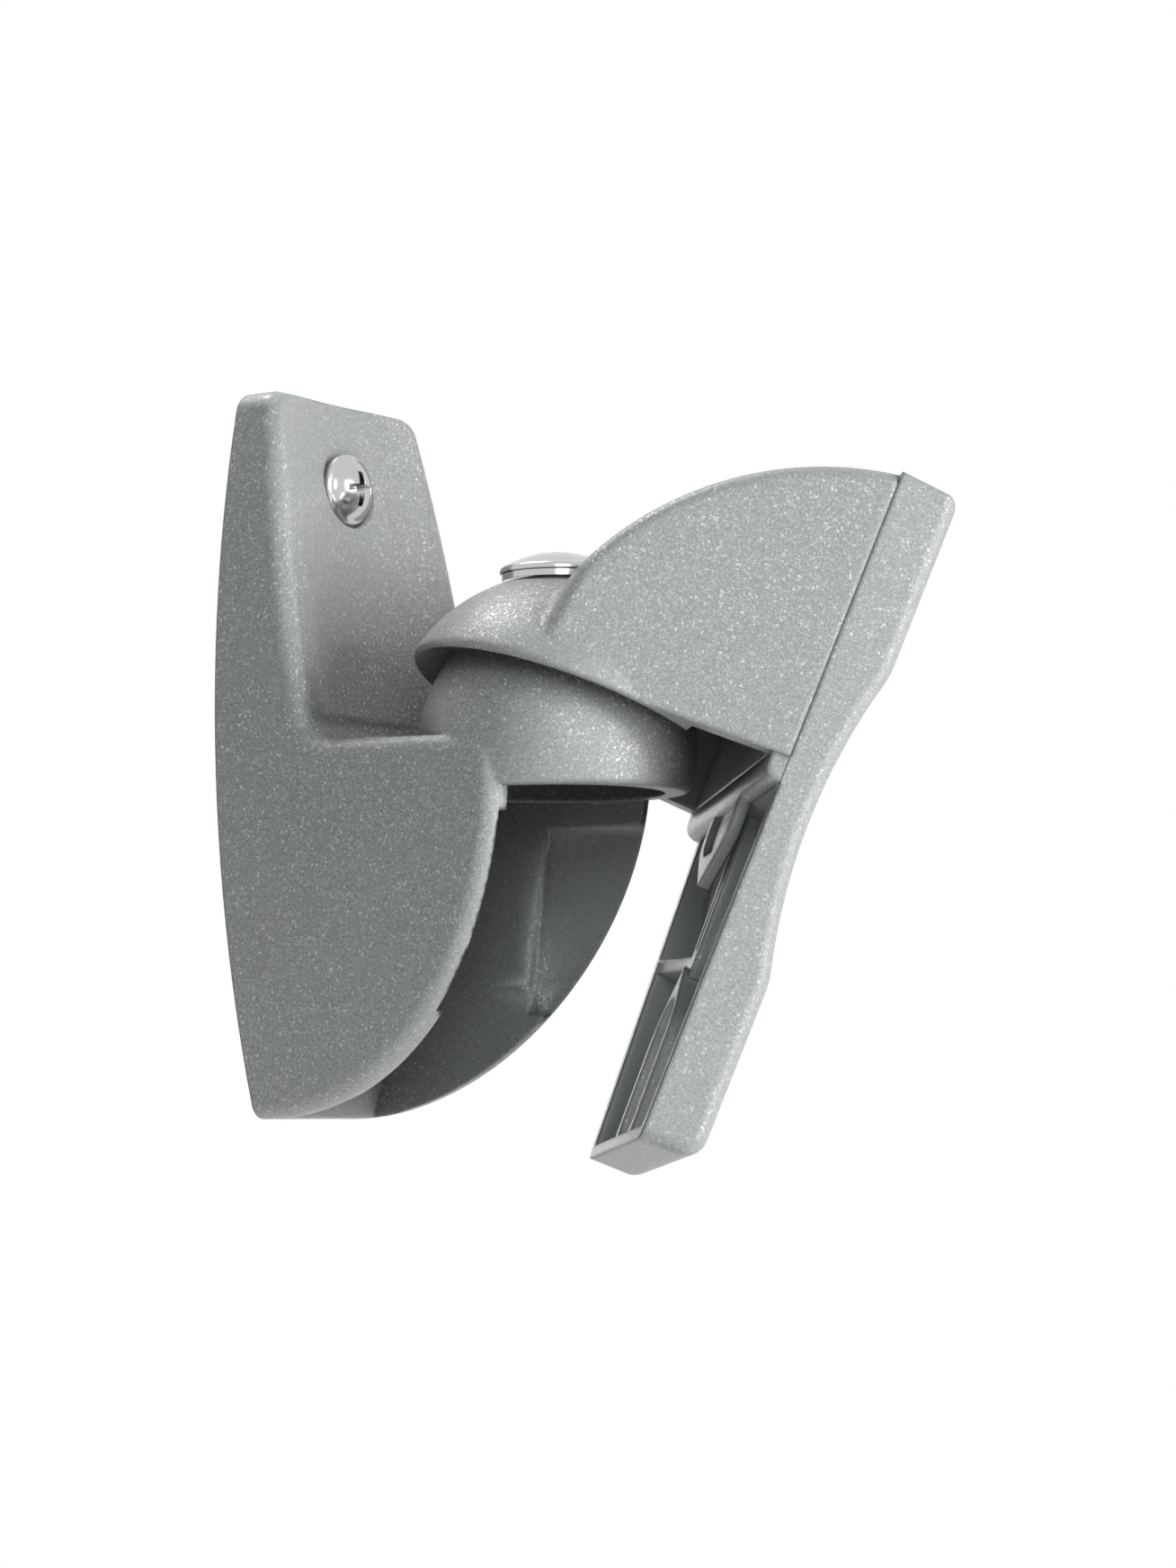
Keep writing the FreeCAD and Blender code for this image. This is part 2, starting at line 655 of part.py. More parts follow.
def make_speaker_plate():
    shell = soft_block(plate_profile(0.0), PLATE_FLARE, is_waist_corner, PLATE_WAIST_CORNER_RADIUS)
    shell = shell.makeFillet(PLATE_EDGE_RADIUS, [e for e in shell.Edges if on_plate_rim(e)])
    hollow = across(plate_profile(PLATE_FRONT_WALL), FAR)
    hollow = hollow.common(between_flanks(PLATE_WALL, PLATE_FLARE))
    inner_low, inner_high = PLATE_BOTTOM_Z + PLATE_WALL, HOOD_TOP_Z - PLATE_TOP_FALL - PLATE_WALL
    hollow = hollow.common(Part.makeBox(2 * FAR, 2 * FAR, inner_high - inner_low,
                                        Vector(-FAR, -FAR, inner_low)))
    keep = [plate_shelf(), plate_rib(), slot_collar(), plate_spine()]
    keep += plate_bosses(HOOD_REACH, plate_front())
    for solid in keep:
        hollow = hollow.cut(solid)
    plate = shell.cut(hollow)
    plate = plate.fuse([plate_lip(), plate_tongue()])
    plate = plate.cut(upright_slot(LONG_SLOT_HALF_WIDTH, LONG_SLOT_BOTTOM_Z, LONG_SLOT_TOP_Z,
                                   HOOD_REACH - PAST, plate_front() + PAST))
    for x, z in plate_screw_places():
        head_seat = plate_front() - PLATE_FRONT_WALL
        plate = plate.cut(rod(PLATE_SCREW_RADIUS + SEAT_GAP, at(head_seat, z, x), Y, PLATE_DEPTH))
        plate = plate.cut(rod(PLATE_SCREW_HEAD_RADIUS + SEAT_GAP, at(plate_front() + PAST, z, x), Y,
                              PAST + PLATE_FRONT_WALL))
    return plate.removeSplitter()


def upright_prism(points, radii, back, depth):
    """A prism through the plate's thickness, of an outline given by side place and height."""
    outline = [at(back, z, x) for x, z in points]
    return Part.Face(Part.Wire(rounded(outline, radii))).extrude(Y * -depth)


def slot_collar():
    """The raised wall round the long slot, pointed at its upper end."""
    floor = PLATE_BOTTOM_Z
    shoulder = LONG_SLOT_TOP_Z
    tip = shoulder + COLLAR_POINT_RISE
    back = HOOD_REACH + COLLAR_BELOW_SEAM
    half = COLLAR_HALF_WIDTH
    rounding = {i: half * COLLAR_SHOULDER_SHARE for i in (1, 3)}
    outer = upright_prism([(half, floor), (half, shoulder), (0, tip), (-half, shoulder), (-half, floor)],
                          rounding, back, PLATE_DEPTH)
    inner = upright_slot(half - COLLAR_WALL, LONG_SLOT_BOTTOM_Z, shoulder,
                         HOOD_REACH - PAST, plate_front() - PLATE_FRONT_WALL)
    return outer.cut(inner)


def plate_spine():
    """A grooved rib down the middle, from the shelf past the cross rib to the slot's collar."""
    low = LONG_SLOT_TOP_Z + COLLAR_POINT_RISE - COLLAR_WALL
    back = HOOD_REACH + SPINE_BELOW_SEAM
    rib = Part.makeBox(SPINE_THICKNESS, PLATE_DEPTH, SHELF_TOP_Z - low,
                       at(back + PLATE_DEPTH, low, -SPINE_THICKNESS / 2))
    groove = Part.makeBox(SPINE_GROOVE, SPINE_GROOVE, SHELF_TOP_Z - RIB_Z,
                          at(back + SPINE_GROOVE / 2, RIB_Z, -SPINE_GROOVE / 2))
    return rib.cut(groove)


def plate_shelf():
    """The shelf inside the plate that carries on the hood's lower edge."""
    return Part.makeBox(2 * FAR, FAR, SHELF_THICKNESS,
                        Vector(-FAR, -HOOD_REACH - FAR, SHELF_TOP_Z - SHELF_THICKNESS))


def plate_lip():
    """The shelf's rounded edge, which shows below the hood's front wall."""
    low, high = SHELF_TOP_Z - SHELF_THICKNESS, SHELF_TOP_Z - SEAT_GAP
    back = HOOD_REACH - HOOD_FRONT_WALL
    front = HOOD_REACH + PLATE_WALL
    outline = [at(back, low), at(back, high), at(front, high), at(front, low)]
    lip = across(rounded(outline, {0: SHELF_LIP_RADIUS}), FAR)
    return lip.common(between_flanks(0.0, PLATE_FLARE)).common(between_flanks(0.0, HOOD_FLARE_FORWARD))


def plate_tongue():
    """A pointed tongue that hangs from the lip, with a shallow pocket round at its foot."""
    top, half = SHELF_TOP_Z - SHELF_THICKNESS / 2, TONGUE_HALF_WIDTH
    shoulder = TONGUE_SHOULDER_Z
    shield = [(half, top), (half, shoulder), (0, TONGUE_TIP_Z), (-half, shoulder), (-half, top)]
    rounding = {i: half * TONGUE_CORNER_SHARE for i in (1, 3)}
    back = HOOD_REACH + SEAT_GAP - TONGUE_THICKNESS
    tongue = upright_prism(shield, rounding, back, TONGUE_THICKNESS + SEAT_GAP)
    pocket_half = half - TONGUE_POCKET_WALL
    foot = TONGUE_POCKET_Z
    pocket_top = SHELF_TOP_Z - SHELF_THICKNESS
    pocket_outline = [(pocket_half, pocket_top), (pocket_half, foot),
                      (-pocket_half, foot), (-pocket_half, pocket_top)]
    pocket_rounding = {i: pocket_half * TONGUE_POCKET_CORNER_SHARE for i in (1, 2)}
    pocket = upright_prism(pocket_outline, pocket_rounding, back - PAST, PAST + TONGUE_POCKET_DEPTH)
    return tongue.cut(pocket)


def plate_rib():
    """A cross rib with a hollowed back edge, between the tongue and the long slot."""
    rib = Part.makeBox(2 * FAR, PLATE_DEPTH, RIB_THICKNESS,
                       Vector(-FAR, -plate_front(), RIB_Z - RIB_THICKNESS / 2))
    half = flank_half_width(HOOD_REACH, RIB_Z, PLATE_FLARE) - PLATE_WALL
    radius = (half ** 2 + RIB_SCOOP_DEPTH ** 2) / (2 * RIB_SCOOP_DEPTH)
    centre = at(HOOD_REACH + RIB_SCOOP_DEPTH - radius, RIB_Z - RIB_THICKNESS)
    return rib.cut(rod(radius, centre, Z, 2 * RIB_THICKNESS))


def make_plate_screws():
    screws = []
    for x, z in plate_screw_places():
        head = pan_head(PLATE_SCREW_HEAD_RADIUS, PLATE_SCREW_HEAD_HEIGHT / 3, PLATE_SCREW_HEAD_HEIGHT)
        shank = rod(PLATE_SCREW_RADIUS, Vector(), Z * -1,
                    PLATE_DEPTH - PLATE_FRONT_WALL + PLATE_SCREW_LENGTH - 1)
        screw = head.fuse(shank).removeSplitter()
        recess = cross_recess(Z * PLATE_SCREW_HEAD_HEIGHT, Z, PLATE_DRIVE_LENGTH,
                              PLATE_DRIVE_WIDTH, PLATE_DRIVE_DEPTH)
        screw = screw.cut(recess)
        screw.Placement = Placement(at(plate_front() - PLATE_FRONT_WALL, z, x), Rotation(Z, Y * -1))
        screws.append(screw)
    return Part.makeCompound(screws)


def arm_pose():
    """The place of the arm's frame: panned aside, nose down and a little rolled."""
    turn = Rotation(Z, ARM_PAN_DEG).multiply(Rotation(X, ARM_TILT_DEG))
    return Placement(BALL_CENTRE, turn.multiply(Rotation(Y, ARM_ROLL_DEG)))


def posed(shape):
    moved = shape.copy()
    moved.Placement = arm_pose().multiply(moved.Placement)
    return moved


def main():
    nodes = {
        "wall_bracket": make_wall_bracket(),
        "upper_wall_screw": make_wall_screw(UPPER_SCREW_Z, UPPER_SEAT_DEPTH),
        "lower_wall_screw": make_wall_screw(LOWER_SCREW_Z, BACK_WALL),
        "clamp_nut": make_clamp_nut(),
        "clamp_screw": make_clamp_screw(),
        "saddle_washer": make_saddle_washer(),
        "arm_hood": posed(make_hood()),
        "speaker_plate": posed(make_speaker_plate()),
        "plate_screws": posed(make_plate_screws()),
    }
    os.makedirs("parts", exist_ok=True)
    for name, shape in nodes.items():
        shape.exportStep("parts/%s.step" % name)
        box = shape.BoundBox
        print("%-18s solids %d valid %s volume %9.1f box %s" % (
            name, len(shape.Solids), shape.isValid(), shape.Volume,
            [round(v, 1) for v in (box.XMin, box.YMin, box.ZMin, box.XMax, box.YMax, box.ZMax)]))


main()
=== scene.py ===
import math
import json
import bmesh
import bpy
from bpy.props import FloatProperty, FloatVectorProperty, PointerProperty
from mathutils import Matrix, Vector
from mathutils.bvhtree import BVHTree


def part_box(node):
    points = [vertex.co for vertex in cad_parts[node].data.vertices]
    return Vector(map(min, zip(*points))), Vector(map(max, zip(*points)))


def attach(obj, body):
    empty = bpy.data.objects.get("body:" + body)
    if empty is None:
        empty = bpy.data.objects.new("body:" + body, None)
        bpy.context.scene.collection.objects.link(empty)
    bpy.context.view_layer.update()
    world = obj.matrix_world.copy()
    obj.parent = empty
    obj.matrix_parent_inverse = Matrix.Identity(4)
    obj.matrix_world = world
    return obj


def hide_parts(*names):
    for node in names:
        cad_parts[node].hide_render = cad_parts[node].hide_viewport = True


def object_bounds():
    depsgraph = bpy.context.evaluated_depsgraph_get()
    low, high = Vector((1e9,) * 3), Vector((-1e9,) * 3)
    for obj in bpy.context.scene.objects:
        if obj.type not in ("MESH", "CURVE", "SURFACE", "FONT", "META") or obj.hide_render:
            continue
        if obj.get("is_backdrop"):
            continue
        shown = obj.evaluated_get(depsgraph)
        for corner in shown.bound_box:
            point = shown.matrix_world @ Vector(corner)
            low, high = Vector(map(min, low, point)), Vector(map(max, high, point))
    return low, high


bl_info = {
    "name": "Speaker wall bracket",
    "version": (1, 0, 0),
    "blender": (4, 5, 0),
    "location": "View3D > Sidebar > Bracket",
    "description": "Dresses a moulded speaker wall bracket in silver flake plastic and plated steel",
    "category": "Object",
}

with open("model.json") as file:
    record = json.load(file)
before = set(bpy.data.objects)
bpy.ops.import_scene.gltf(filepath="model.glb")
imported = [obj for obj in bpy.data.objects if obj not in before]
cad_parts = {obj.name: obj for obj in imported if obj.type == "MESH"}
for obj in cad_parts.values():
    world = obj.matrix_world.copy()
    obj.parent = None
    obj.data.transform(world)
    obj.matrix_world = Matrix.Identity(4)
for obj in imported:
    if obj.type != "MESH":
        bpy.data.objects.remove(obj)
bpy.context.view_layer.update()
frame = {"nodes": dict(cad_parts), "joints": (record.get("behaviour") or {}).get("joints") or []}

MM = 0.001
WHITE = (1.0, 1.0, 1.0, 1.0)

# Which sockets of a Mix node carry its factor, its two colours and its result.
MIX_FACTOR = 0
MIX_FIRST = 6
MIX_SECOND = 7
MIX_RESULT = 2

JOINTS = {joint["name"]: joint for joint in frame["joints"]}
BALL_CENTRE = Vector(JOINTS["arm_pan"]["pos_m"])
MOULDINGS = {
    "wall_bracket": "wall_part",
    "arm_hood": "arm",
    "speaker_plate": "arm",
}
BRIGHT_PARTS = {
    "upper_wall_screw": "wall_part",
    "lower_wall_screw": "wall_part",
    "clamp_screw": "wall_part",
    "clamp_nut": "wall_part",
    "saddle_washer": "saddle",
    "plate_screws": "arm",
}

# How the arm stands on the ball at rest.
ARM_PAN = math.radians(44.0)
ARM_TILT = math.radians(21.5)
ARM_ROLL = math.radians(5.5)
ARM_TURN = Matrix.Rotation(ARM_PAN, 4, "Z") @ Matrix.Rotation(ARM_TILT, 4, "X")
ARM_PLACE = Matrix.Translation(BALL_CENTRE) @ ARM_TURN @ Matrix.Rotation(ARM_ROLL, 4, "Y")

# In the arm's own axes: the plate screws' seats, and the plane where hood and plate meet.
PLATE_SCREW_SEATS = [Vector((across, -31.25, 28.0)) * MM for across in (-13.0, 13.0)]
SEAM_FORWARD = 25.0 * MM

# The plastic of each body. Shade sets how strongly painted shade darkens its corners, polish smooths its
# inside faces and lightens them with painted light, softening widens the light round its edges, and seam
# draws the line between hood and plate.
PLASTICS = {
    "wall_part": {
        "name": "silver_flake_plastic",
        "shade": 1.15, "polish_and_painted_light": 0.3, "softening": 1.0, "seam": False,
    },
    "arm": {
        "name": "silver_flake_plastic_arm",
        "shade": 0.2, "polish_and_painted_light": 1.0, "softening": 1.8, "seam": True,
    },
}

# Tones of the plastic, as factors on its colour: the random mottle, the painted light on inside faces, the
# painted shade in corners, and the seam.
DARK_MOTTLE = 0.74
LIGHT_MOTTLE = 1.22
INSIDE_PAINTED_LIGHT_TONE = 1.30
PAINTED_CORNER_SHADE_TONE = 0.30
SEAM_TONE = 0.16

# What makes up the mottle, the flakes and the relief of the plastic.
CLOUD_SCALE = 90.0
GRAIN_SCALE = 2600.0
CLOUD_SHARE = 0.2
FLAKE_TONE_SHARE = 0.45
SPECK_TONE_SHARE = 0.35
SPECK_SPACING_FACTOR = 0.42
SPECK_RARITY_FACTOR = 2.6
FLAKE_SHARE = 0.6
SPECK_SHARE = 0.7
FLAKES_LOST_INSIDE = 0.6
FLAKE_METAL = 0.5
GRAIN_HEIGHT = 0.6
FLAKE_HEIGHT = 0.4
PLASTIC_RELIEF = 0.22
PLASTIC_RELIEF_DEPTH = 0.05 * MM

# Roughness of the plastic, and what takes from it.
SATIN_ROUGHNESS = 0.47
FLAKE_GLOSS = 0.12
INSIDE_GLOSS = 0.14
CLOUD_GLOSS = 0.08

# From which share of shelter a face counts as an inside face, how fast, and how the painted shade in a
# corner sets in.
INSIDE_FROM = 0.45
INSIDE_RISE = 5.0
PAINTED_CORNER_SHADE_RISE = 1.1
SHADE_SAMPLES = 8
EDGE_SAMPLES = 6
SEAM_FACING_LIMIT = 0.6

# The plated steel.
BLOOM_SCALE = 220.0
LINE_SCALE = 1800.0
BLOOM_TONE = 0.92
STEEL_ROUGHNESS = 0.09
BLOOM_ROUGHNESS = 0.06
LINE_ROUGHNESS = 0.05
STEEL_SOFTNESS = 0.12 * MM
STEEL_RELIEF = 0.10
STEEL_RELIEF_DEPTH = 0.03 * MM

# Rays that test how far a face is shut in: their number, the turn from one to the next, and how far
# off the face they start.
SHELTER_RAYS = 18
SHELTER_TURN = math.radians(137.5)
SHELTER_START = 0.05 * MM

# How strongly the large faces of a moulding set its shading.
EVEN_SHADING_WEIGHT = 90

# How finely the screws are turned and wound. A radius under ON_AXIS is a point on the axis.
TURNING_STEPS = 72
CROWN_STEPS = 12
RIM_STEPS = 5
CUP_STEPS = 8
THREAD_STEPS = 24
RIDGE_CORNERS = 4
ON_AXIS = 1e-9

# Shapes that all the screws share: the core's radius as a share of the thread's, the small edge under
# the head and at the shank's end, how a rim is rounded, and how far a cross's cutter reaches past it.
CORE_SHARE = 0.84
FOOT_EDGE = 0.15 * MM
POINT = 0.5 * MM
RIM_ROUNDING = 0.45 * MM
RIM_ROUNDING_SHARE = 0.6
RIM_DROP_SHARE = 1.4
RIM_FOOT_SHARE = 0.45
CROSS_OVERSHOOT = 0.4
CROSS_TIP_SHARE = 0.8

# Each lamp: its offset from the aim, its width and height in metres, its watts and its colour.
LAMPS = {
    "key_softbox": ((0.12, -0.88, 0.22), (0.32, 0.32), 5.4, (1.0, 0.985, 0.975)),
    "camera_side_softbox": ((-0.6, -0.6, 0.25), (0.4, 0.4), 1.55, (0.93, 1.0, 0.965)),
    "low_softbox": ((0.0, -0.85, -0.25), (0.5, 0.3), 2.4, (1.0, 1.0, 1.0)),
    "back_softbox": ((0.0, 0.4, 0.8), (0.4, 0.4), 4.3, (1.0, 1.0, 1.0)),
    "back_right_softbox": ((0.36, 0.75, 0.12), (0.4, 0.4), 1.3, (1.0, 1.0, 1.0)),
}

# The backdrop, in metres: half its width, how far it runs and rises, and the radius of its bend.
SWEEP_HALF_WIDTH = 3.0
SWEEP_RUN = 2.6
SWEEP_RISE = 2.6
SWEEP_BEND = 0.8
SWEEP_STEPS = 12
PALE_PAINT = (0.82, 0.82, 0.82, 1.0)
PALE_ROUGHNESS = 0.9


class Number:
    """A node's socket that carries a number, so that sums on it read as plain expressions."""

    def __init__(self, nodes, socket):
        self.nodes = nodes
        self.socket = socket

    def _sum(self, operation, *values):
        return self.nodes.number("ShaderNodeMath", {"operation": operation}, dict(enumerate(values)))

    def __add__(self, other):
        return self._sum("ADD", self, other)

    __radd__ = __add__

    def __sub__(self, other):
        return self._sum("SUBTRACT", self, other)

    def __rsub__(self, other):
        return self._sum("SUBTRACT", other, self)

    def __mul__(self, other):
        return self._sum("MULTIPLY", self, other)

    __rmul__ = __mul__

    def __truediv__(self, other):
        return self._sum("DIVIDE", self, other)

    def __pow__(self, other):
        return self._sum("POWER", self, other)

    def __lt__(self, other):
        return self._sum("LESS_THAN", self, other)

    def __abs__(self):
        return self._sum("ABSOLUTE", self)

    def clamped(self):
        """The number, held between 0 and 1."""
        return self._sum("MINIMUM", self._sum("MAXIMUM", self, 0.0), 1.0)


class Nodes:
    """A node tree that is being filled, for a material, the world or a modifier."""

    def __init__(self, tree):
        self.tree = tree
        tree.nodes.clear()

    def add(self, kind, settings=None, inputs=None):
        """A node of a kind, with its settings made first and then its sockets' values or links."""
        node = self.tree.nodes.new(kind)
        for name, value in (settings or {}).items():
            setattr(node, name, value)
        for name, value in (inputs or {}).items():
            self.feed(node, name, value)
        return node

    def feed(self, node, name, value):
        """Link a Number or a socket to a node's input, or give the input a plain value."""
        socket = node.inputs[name]
        if isinstance(value, Number):
            value = value.socket
        if isinstance(value, bpy.types.NodeSocket):
            self.tree.links.new(value, socket)
        else:
            socket.default_value = value

    def number(self, kind, settings=None, inputs=None, output=0):
        """One output of a new node, as a number."""
        return Number(self, self.add(kind, settings, inputs).outputs[output])

    def shows_backdrop(self):
        """1 for a ray that shows the backdrop: from the camera, in gloss or through glass."""
        paths = self.add("ShaderNodeLightPath").outputs
        camera, gloss, glass = (Number(self, paths["Is " + ray + " Ray"])
                                for ray in ("Camera", "Glossy", "Transmission"))
        return (camera + gloss + glass).clamped()


class Finish(Nodes):
    """One node material around a Principled shader."""

    def __init__(self, name):
        self.material = bpy.data.materials.new(name)
        self.material.use_nodes = True
        super().__init__(self.material.node_tree)
        self.shader = self.add("ShaderNodeBsdfPrincipled")
        self.output = self.add("ShaderNodeOutputMaterial", {}, {0: self.shader.outputs[0]})
        self.place = self.add("ShaderNodeTexCoord").outputs["Object"]

    def noise(self, scale, detail):
        """Soft clouds, as many to a metre as the scale says."""
        inputs = {"Vector": self.place, "Scale": scale, "Detail": detail}
        return self.number("ShaderNodeTexNoise", {}, inputs, "Fac")

    def cells(self, scale):
        """Small cells, each with a random colour of its own."""
        inputs = {"Vector": self.place, "Scale": scale}
        return self.add("ShaderNodeTexVoronoi", {"feature": "F1"}, inputs)

    def channel(self, cells, index):
        """Red, green or blue of the cells' colours, as a number."""
        return self.number("ShaderNodeSeparateColor", {}, {0: cells.outputs["Color"]}, index)

    def along(self, vector, direction):
        """How far a vector reaches in a direction."""
        inputs = {0: vector, 1: direction}
        return self.number("ShaderNodeVectorMath", {"operation": "DOT_PRODUCT"}, inputs, "Value")

    def mix(self, factor, first, second):
        """The colour between two colours."""
        inputs = {MIX_FACTOR: factor, MIX_FIRST: first, MIX_SECOND: second}
        return self.add("ShaderNodeMix", {"data_type": "RGBA"}, inputs).outputs[MIX_RESULT]

    def relief(self, height, strength, depth, softness):
        """The normal of a faint relief, with the light led softly round the edges."""
        soft = self.add("ShaderNodeBevel", {"samples": EDGE_SAMPLES}, {"Radius": softness})
        inputs = {"Strength": strength, "Distance": depth, "Height": height, "Normal": soft.outputs[0]}
        return self.add("ShaderNodeBump", {}, inputs).outputs[0]

    def shade(self, **values):
        """Feed the shader's own sockets, and give the finished material."""
        names = {"colour": "Base Color", "roughness": "Roughness",
                 "metallic": "Metallic", "normal": "Normal"}
        for key, value in values.items():
            self.feed(self.shader, names[key], value)
        return self.material


def toned(colour, factor=1.0):
    """A colour of four numbers from three, made lighter or darker."""
    return tuple(min(1.0, c * factor) for c in colour) + (1.0,)


def shut_line(finish, settings):
    """1 in the dark line where the hood meets the plate, 0 elsewhere."""
    forward = ARM_PLACE.to_3x3() @ Vector((0, -1, 0))
    level = forward.dot(BALL_CENTRE) + SEAM_FORWARD
    apart = abs(finish.along(finish.place, forward) - level)
    facing = finish.along(finish.add("ShaderNodeTexCoord").outputs["Normal"], forward)
    return (1.0 - apart / settings.seam_width).clamped() * (abs(facing) < SEAM_FACING_LIMIT)


def moulded_flake(settings, name, shade, polish_and_painted_light, softening, seam):
    """Silver grey plastic with metal flakes under its satin surface, and a fine moulded grain, with painted
    shade in corners and painted light on inside faces.
    """
    finish = Finish(name)
    base = settings.plastic_colour
    shelter = finish.number("ShaderNodeAttribute", {"attribute_name": "shelter"}, {}, "Fac")
    inside = ((shelter - INSIDE_FROM) * INSIDE_RISE).clamped() * polish_and_painted_light
    open_air = finish.number("ShaderNodeAmbientOcclusion", {"samples": SHADE_SAMPLES},
                             {"Distance": settings.painted_shade_reach}, "AO")
    # Painted shade: where ambient occlusion finds the piece shut in, the colour is darkened to stand in for
    # shade in corners.
    corner = (1.0 - (PAINTED_CORNER_SHADE_RISE - open_air * PAINTED_CORNER_SHADE_RISE) * shade).clamped()
    flake_cells = finish.cells(settings.flakes_per_metre)
    speck_cells = finish.cells(settings.flakes_per_metre * SPECK_SPACING_FACTOR)
    flake = (finish.channel(flake_cells, 0) ** settings.flake_rarity).clamped()
    speck = (finish.channel(speck_cells, 0) ** (settings.flake_rarity * SPECK_RARITY_FACTOR)).clamped()
    flakes = (flake * FLAKE_SHARE + speck * SPECK_SHARE).clamped() * (1.0 - inside * FLAKES_LOST_INSIDE)
    flake_tone = finish.channel(flake_cells, 1)
    speck_tone = finish.channel(speck_cells, 1)
    cloud = finish.noise(CLOUD_SCALE, detail=3.0)
    grain = finish.noise(GRAIN_SCALE, detail=2.0)

    mottle = (cloud * CLOUD_SHARE + flake_tone * FLAKE_TONE_SHARE + speck_tone * SPECK_TONE_SHARE).clamped()
    colour = finish.mix(mottle, toned(base, DARK_MOTTLE), toned(base, LIGHT_MOTTLE))
    # Painted light: the inside faces are made lighter to stand in for light that reaches them.
    colour = finish.mix(inside, colour, toned(base, INSIDE_PAINTED_LIGHT_TONE))
    # Painted shade darkens the corners and recesses.
    colour = finish.mix(corner, toned(base, PAINTED_CORNER_SHADE_TONE), colour)
    colour = finish.mix((flakes * settings.flake_strength).clamped(), colour, toned(settings.flake_colour))
    if seam:
        colour = finish.mix(shut_line(finish, settings), colour, toned(base, SEAM_TONE))

    roughness = SATIN_ROUGHNESS - flake * FLAKE_GLOSS - inside * INSIDE_GLOSS + (cloud - 0.5) * CLOUD_GLOSS
    height = grain * GRAIN_HEIGHT + flake_tone * FLAKE_HEIGHT
    normal = finish.relief(height, PLASTIC_RELIEF, PLASTIC_RELIEF_DEPTH, settings.edge_softness * softening)
    return finish.shade(colour=colour, roughness=roughness.clamped(),
                        metallic=flakes * FLAKE_METAL, normal=normal)


def plated_steel(settings):
    """Bright zinc or nickel plating with faint fine lines and a little bloom."""
    finish = Finish("plated_steel")
    bloom = finish.noise(BLOOM_SCALE, detail=3.0)
    lines = finish.noise(LINE_SCALE, detail=2.0)
    colour = finish.mix(bloom, toned(settings.steel_colour, BLOOM_TONE), toned(settings.steel_colour))
    roughness = (STEEL_ROUGHNESS + bloom * BLOOM_ROUGHNESS + lines * LINE_ROUGHNESS).clamped()
    normal = finish.relief(lines, STEEL_RELIEF, STEEL_RELIEF_DEPTH, STEEL_SOFTNESS)
    return finish.shade(colour=colour, roughness=roughness, metallic=1.0, normal=normal)


class BracketFinish(bpy.types.PropertyGroup):
    plastic_colour: FloatVectorProperty(
        name="Plastic", description="Colour of the moulded plastic", subtype="COLOR", size=3,
        min=0.0, max=1.0, default=(0.425, 0.446, 0.429))
    flake_colour: FloatVectorProperty(
        name="Flakes", description="Colour of the metal flakes", subtype="COLOR", size=3,
        min=0.0, max=1.0, default=(0.86, 0.87, 0.85))
    steel_colour: FloatVectorProperty(
        name="Steel", description="Colour of the plated steel", subtype="COLOR", size=3,
        min=0.0, max=1.0, default=(0.56, 0.565, 0.555))
    flakes_per_metre: FloatProperty(
        name="Flakes per metre", description="How fine the flakes are", default=8200.0, min=100.0)
    flake_rarity: FloatProperty(
        name="Flake rarity", description="A higher value leaves fewer bright flakes", default=6.0, min=1.0)
    flake_strength: FloatProperty(
        name="Flake strength", description="How far a flake stands out", default=0.6, min=0.0, max=1.0)
    # Painted shade: how far the darker tone painted into corners reaches.
    painted_shade_reach: FloatProperty(
        name="Shade reach", description="How far from a corner its darker tone runs",
        subtype="DISTANCE", unit="LENGTH", default=30.0 * MM)
    seam_width: FloatProperty(
        name="Seam width", description="Half width of the dark line between hood and plate",
        subtype="DISTANCE", unit="LENGTH", default=0.16 * MM)
    edge_softness: FloatProperty(
        name="Edge softness", description="How far the light runs round a moulded edge",
        subtype="DISTANCE", unit="LENGTH", default=0.6 * MM)


class BracketSizes(bpy.types.PropertyGroup):
    merge_distance: FloatProperty(
        name="Merge distance", description="Corners nearer than this are one corner",
        subtype="DISTANCE", unit="LENGTH", default=0.004 * MM)
    flat_angle: FloatProperty(
        name="Flat angle", description="Neighbours that differ by less than this become one face",
        subtype="ANGLE", unit="ROTATION", default=math.radians(0.4))
    crease_angle: FloatProperty(
        name="Crease angle", description="Edges sharper than this stay sharp",
        subtype="ANGLE", unit="ROTATION", default=math.radians(28))
    shelter_reach: FloatProperty(
        name="Shelter reach", description="How far a wall may be and still shelter a face",
        subtype="DISTANCE", unit="LENGTH", default=45.0 * MM)
    screw_crease: FloatProperty(
        name="Screw crease", description="Edges of a screw sharper than this stay sharp",
        subtype="ANGLE", unit="ROTATION", default=math.radians(38))
    recess_taper: FloatProperty(
        name="Drive taper", description="How much the cross narrows to its foot",
        default=0.5, min=0.0, max=0.9)
    thread_pitch: FloatProperty(
        name="Thread pitch", description="Rise of one turn of a screw thread",
        subtype="DISTANCE", unit="LENGTH", default=0.8 * MM)


